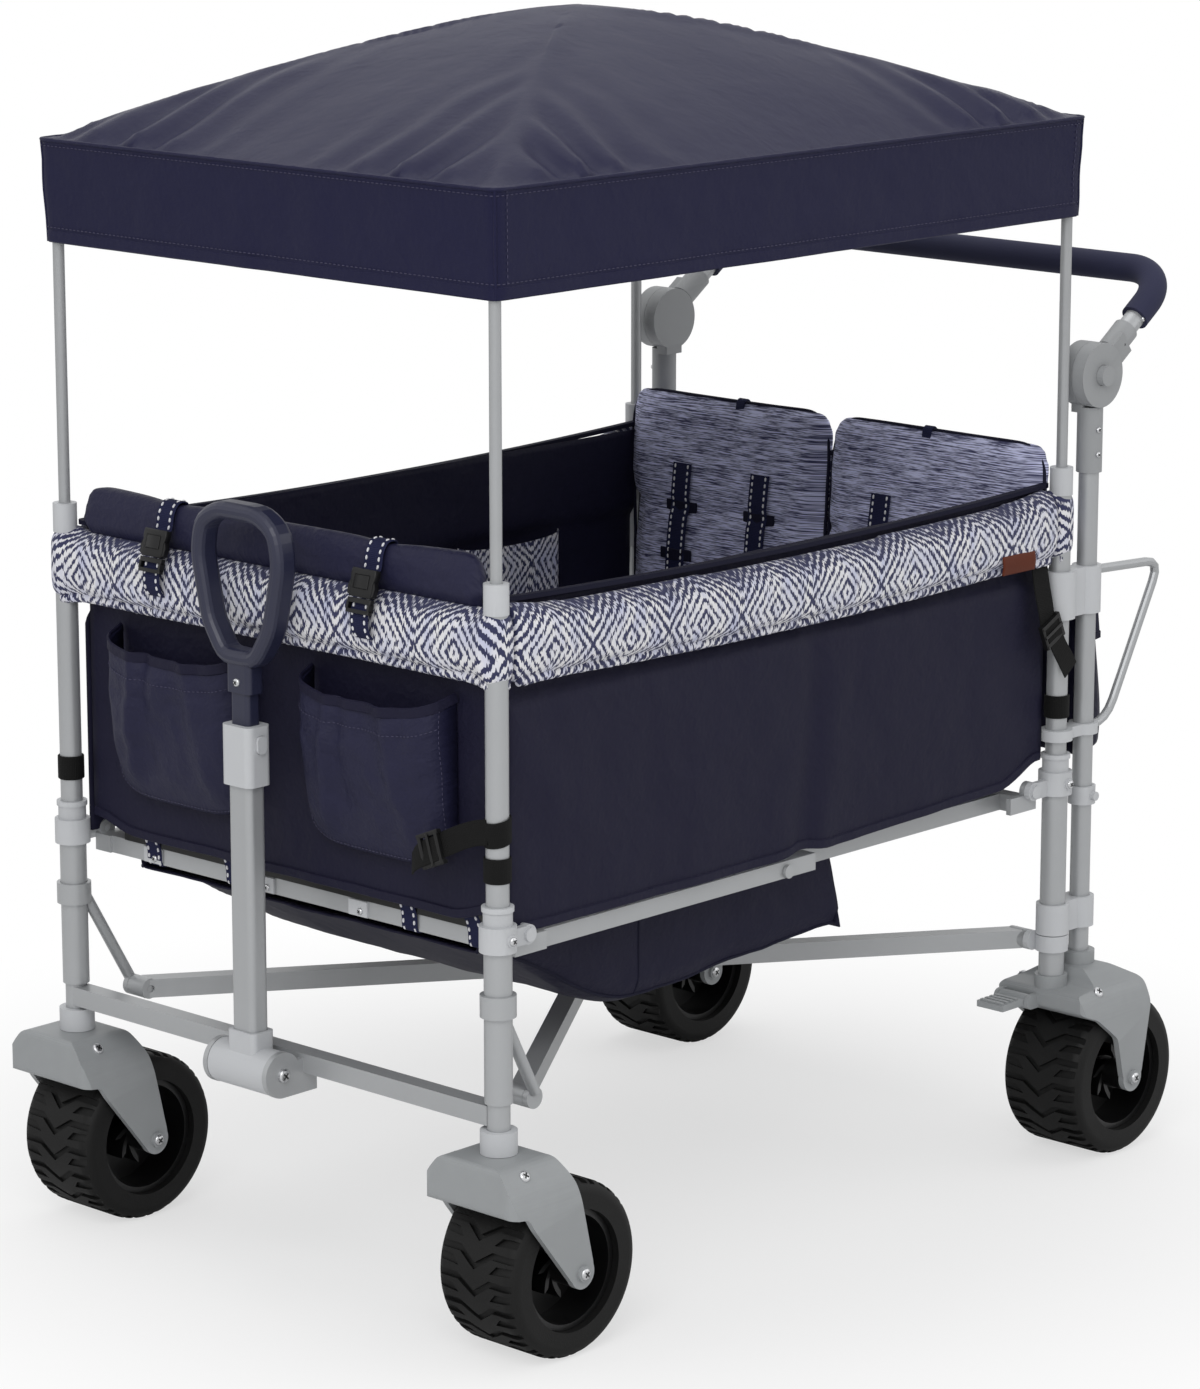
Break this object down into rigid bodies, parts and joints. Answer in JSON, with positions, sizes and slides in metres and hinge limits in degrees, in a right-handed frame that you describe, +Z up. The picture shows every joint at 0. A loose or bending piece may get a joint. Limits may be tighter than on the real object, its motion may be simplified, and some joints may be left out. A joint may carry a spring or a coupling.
{
  "type": "stroller wagon",
  "caption": "Folding four-wheel stroller wagon with cloth tub, padded seats, canopy on poles, telescoping pull handle and tilting push handle",
  "frame": {"origin": "on the ground under the middle of the overall box", "axes": "X runs along the wagon with the pull handle at -X and the push handle at +X, Y runs across it, Z is up"},
  "size_m": [1.1306, 0.751, 1.276],
  "materials": {
    "steel": "satin silver-grey paint",
    "grey_plastic": "light grey moulded plastic",
    "fork_plastic": "mid grey moulded plastic",
    "black_plastic": "black moulded plastic",
    "navy_grip": "navy soft-touch",
    "navy_cloth": "navy woven cloth",
    "roof_cloth": "navy canopy cloth",
    "printed_cloth": "off-white and navy printed cloth",
    "seat_cloth": "heathered navy cloth",
    "webbing": "black webbing",
    "tyre": "black tyre rubber"
  },
  "bodies": {
    "rear_frame": {"rear_posts": "steel", "handle_posts": "steel", "rear_brackets": "grey_plastic", "rear_forks": "fork_plastic", "rear_loops": "steel", "rear_bag": "navy_cloth", "hub_sockets": "grey_plastic", "rear_canopy_sockets": "grey_plastic", "rear_canopy_poles": "fork_plastic", "rear_wall": "navy_cloth", "side_walls": "navy_cloth", "rear_rail_pad": "printed_cloth", "side_rail_pads": "printed_cloth", "seat_backs": "seat_cloth", "harness_straps": "webbing", "canopy_roof": "roof_cloth", "canopy_ribs": "black_plastic", "rear_straps": "webbing"},
    "front_frame": {"front_posts": "steel", "front_fittings": "grey_plastic", "front_crossbar": "steel", "front_braces": "steel", "front_canopy_sockets": "grey_plastic", "front_canopy_poles": "fork_plastic", "front_wall": "navy_cloth", "front_rail_pad": "printed_cloth", "front_pockets": "navy_cloth", "front_flap": "navy_cloth", "flap_straps": "webbing", "front_straps": "webbing"},
    "floor_front": {"floor_frame_front": "steel", "floor_board_front": "black_plastic"},
    "floor_rear": {"floor_frame_rear": "steel", "floor_board_rear": "black_plastic", "seat_cushions": "seat_cloth", "hung_basket": "navy_cloth"},
    "cross_rear": {"cross_frame_rear": "steel"},
    "cross_front": {"cross_frame_front": "steel"},
    "pull_handle": {"pull_fittings": "grey_plastic", "pull_tube": "steel"},
    "pull_slider": {"pull_grip": "navy_grip"},
    "pull_key_left": {"pull_button_left": "grey_plastic"},
    "pull_key_right": {"pull_button_right": "grey_plastic"},
    "push_handle": {"push_knuckles": "grey_plastic", "push_tube": "steel", "push_foam": "navy_grip"},
    "hub_key_left": {"hub_button_left": "fork_plastic"},
    "hub_key_right": {"hub_button_right": "fork_plastic"},
    "caster_left": {"caster_fork_left": "fork_plastic"},
    "caster_right": {"caster_fork_right": "fork_plastic"},
    "caster_wheel_left": {"caster_tyre_left": "tyre", "caster_rim_left": "black_plastic"},
    "caster_wheel_right": {"caster_tyre_right": "tyre", "caster_rim_right": "black_plastic"},
    "rear_wheel_left": {"rear_tyre_left": "tyre", "rear_rim_left": "black_plastic"},
    "rear_wheel_right": {"rear_tyre_right": "tyre", "rear_rim_right": "black_plastic"},
    "brake_left": {"brake_pedal_left": "fork_plastic"},
    "brake_right": {"brake_pedal_right": "fork_plastic"}
  },
  "joints": [
    {"name": "fold", "type": "hinge", "parent": "rear_frame", "child": "floor_rear", "pos_m": [0.32419, 0, 0.424], "axis": [0, 1, 0], "range_deg": [0, 70], "deforming": ["side_walls", "side_rail_pads", "canopy_roof", "canopy_ribs", "seat_backs", "harness_straps", "seat_cushions", "hung_basket"]},
    {"name": "fold_mid", "type": "hinge", "parent": "floor_rear", "child": "floor_front", "pos_m": [-0.06981, 0, 0.409], "axis": [0, 1, 0], "range_deg": [-140, 0]},
    {"name": "fold_front", "type": "hinge", "parent": "floor_front", "child": "front_frame", "pos_m": [-0.46381, 0, 0.424], "axis": [0, 1, 0], "range_deg": [0, 70]},
    {"name": "cross_heel", "type": "hinge", "parent": "rear_frame", "child": "cross_rear", "pos_m": [0.34819, 0, 0.25], "axis": [0, 1, 0], "range_deg": [0, 70]},
    {"name": "cross_mid", "type": "hinge", "parent": "cross_rear", "child": "cross_front", "pos_m": [-0.04581, 0, 0.235], "axis": [0, 1, 0], "range_deg": [-140, 0]},
    {"name": "pull_hinge", "type": "hinge", "parent": "front_frame", "child": "pull_handle", "pos_m": [-0.54181, 0, 0.243], "axis": [0, -1, 0], "range_deg": [0, 90]},
    {"name": "pull_slide", "type": "slide", "parent": "pull_handle", "child": "pull_slider", "axis": [0, 0, 1], "range_m": [0, 0.23]},
    {"name": "pull_key_left_press", "type": "slide", "parent": "pull_handle", "child": "pull_key_left", "axis": [0, 1, 0], "range_m": [0, 0.003], "stiffness_N_per_m": 400},
    {"name": "pull_key_right_press", "type": "slide", "parent": "pull_handle", "child": "pull_key_right", "axis": [0, -1, 0], "range_m": [0, 0.003], "stiffness_N_per_m": 400},
    {"name": "push_hinge", "type": "hinge", "parent": "rear_frame", "child": "push_handle", "pos_m": [0.41219, 0, 0.87], "axis": [0, 1, 0], "range_deg": [-40, 80]},
    {"name": "hub_key_left_press", "type": "slide", "parent": "push_handle", "child": "hub_key_left", "axis": [0, 1, 0], "range_m": [0, 0.004], "stiffness_N_per_m": 400},
    {"name": "hub_key_right_press", "type": "slide", "parent": "push_handle", "child": "hub_key_right", "axis": [0, -1, 0], "range_m": [0, 0.004], "stiffness_N_per_m": 400},
    {"name": "caster_left_swivel", "type": "hinge", "parent": "front_frame", "child": "caster_left", "pos_m": [-0.50381, -0.31, 0.212], "axis": [0, 0, 1], "continuous": true},
    {"name": "caster_left_roll", "type": "hinge", "parent": "caster_left", "child": "caster_wheel_left", "pos_m": [-0.45081, -0.31, 0.09], "axis": [0, 1, 0], "continuous": true},
    {"name": "rear_left_roll", "type": "hinge", "parent": "rear_frame", "child": "rear_wheel_left", "pos_m": [0.43419, -0.31, 0.09], "axis": [0, 1, 0], "continuous": true},
    {"name": "brake_left_press", "type": "hinge", "parent": "rear_frame", "child": "brake_left", "pos_m": [0.33419, -0.31, 0.184], "axis": [0, -1, 0], "range_deg": [0, 20]},
    {"name": "caster_right_swivel", "type": "hinge", "parent": "front_frame", "child": "caster_right", "pos_m": [-0.50381, 0.31, 0.212], "axis": [0, 0, 1], "continuous": true},
    {"name": "caster_right_roll", "type": "hinge", "parent": "caster_right", "child": "caster_wheel_right", "pos_m": [-0.45081, 0.31, 0.09], "axis": [0, 1, 0], "continuous": true},
    {"name": "rear_right_roll", "type": "hinge", "parent": "rear_frame", "child": "rear_wheel_right", "pos_m": [0.43419, 0.31, 0.09], "axis": [0, 1, 0], "continuous": true},
    {"name": "brake_right_press", "type": "hinge", "parent": "rear_frame", "child": "brake_right", "pos_m": [0.33419, 0.31, 0.184], "axis": [0, -1, 0], "range_deg": [0, 20]}
  ],
  "couplings": [
    {"joint": "fold_mid", "follows": "fold", "ratio": -2},
    {"joint": "fold_front", "follows": "fold", "ratio": 1},
    {"joint": "cross_heel", "follows": "fold", "ratio": 1},
    {"joint": "cross_mid", "follows": "fold", "ratio": -2}
  ]
}
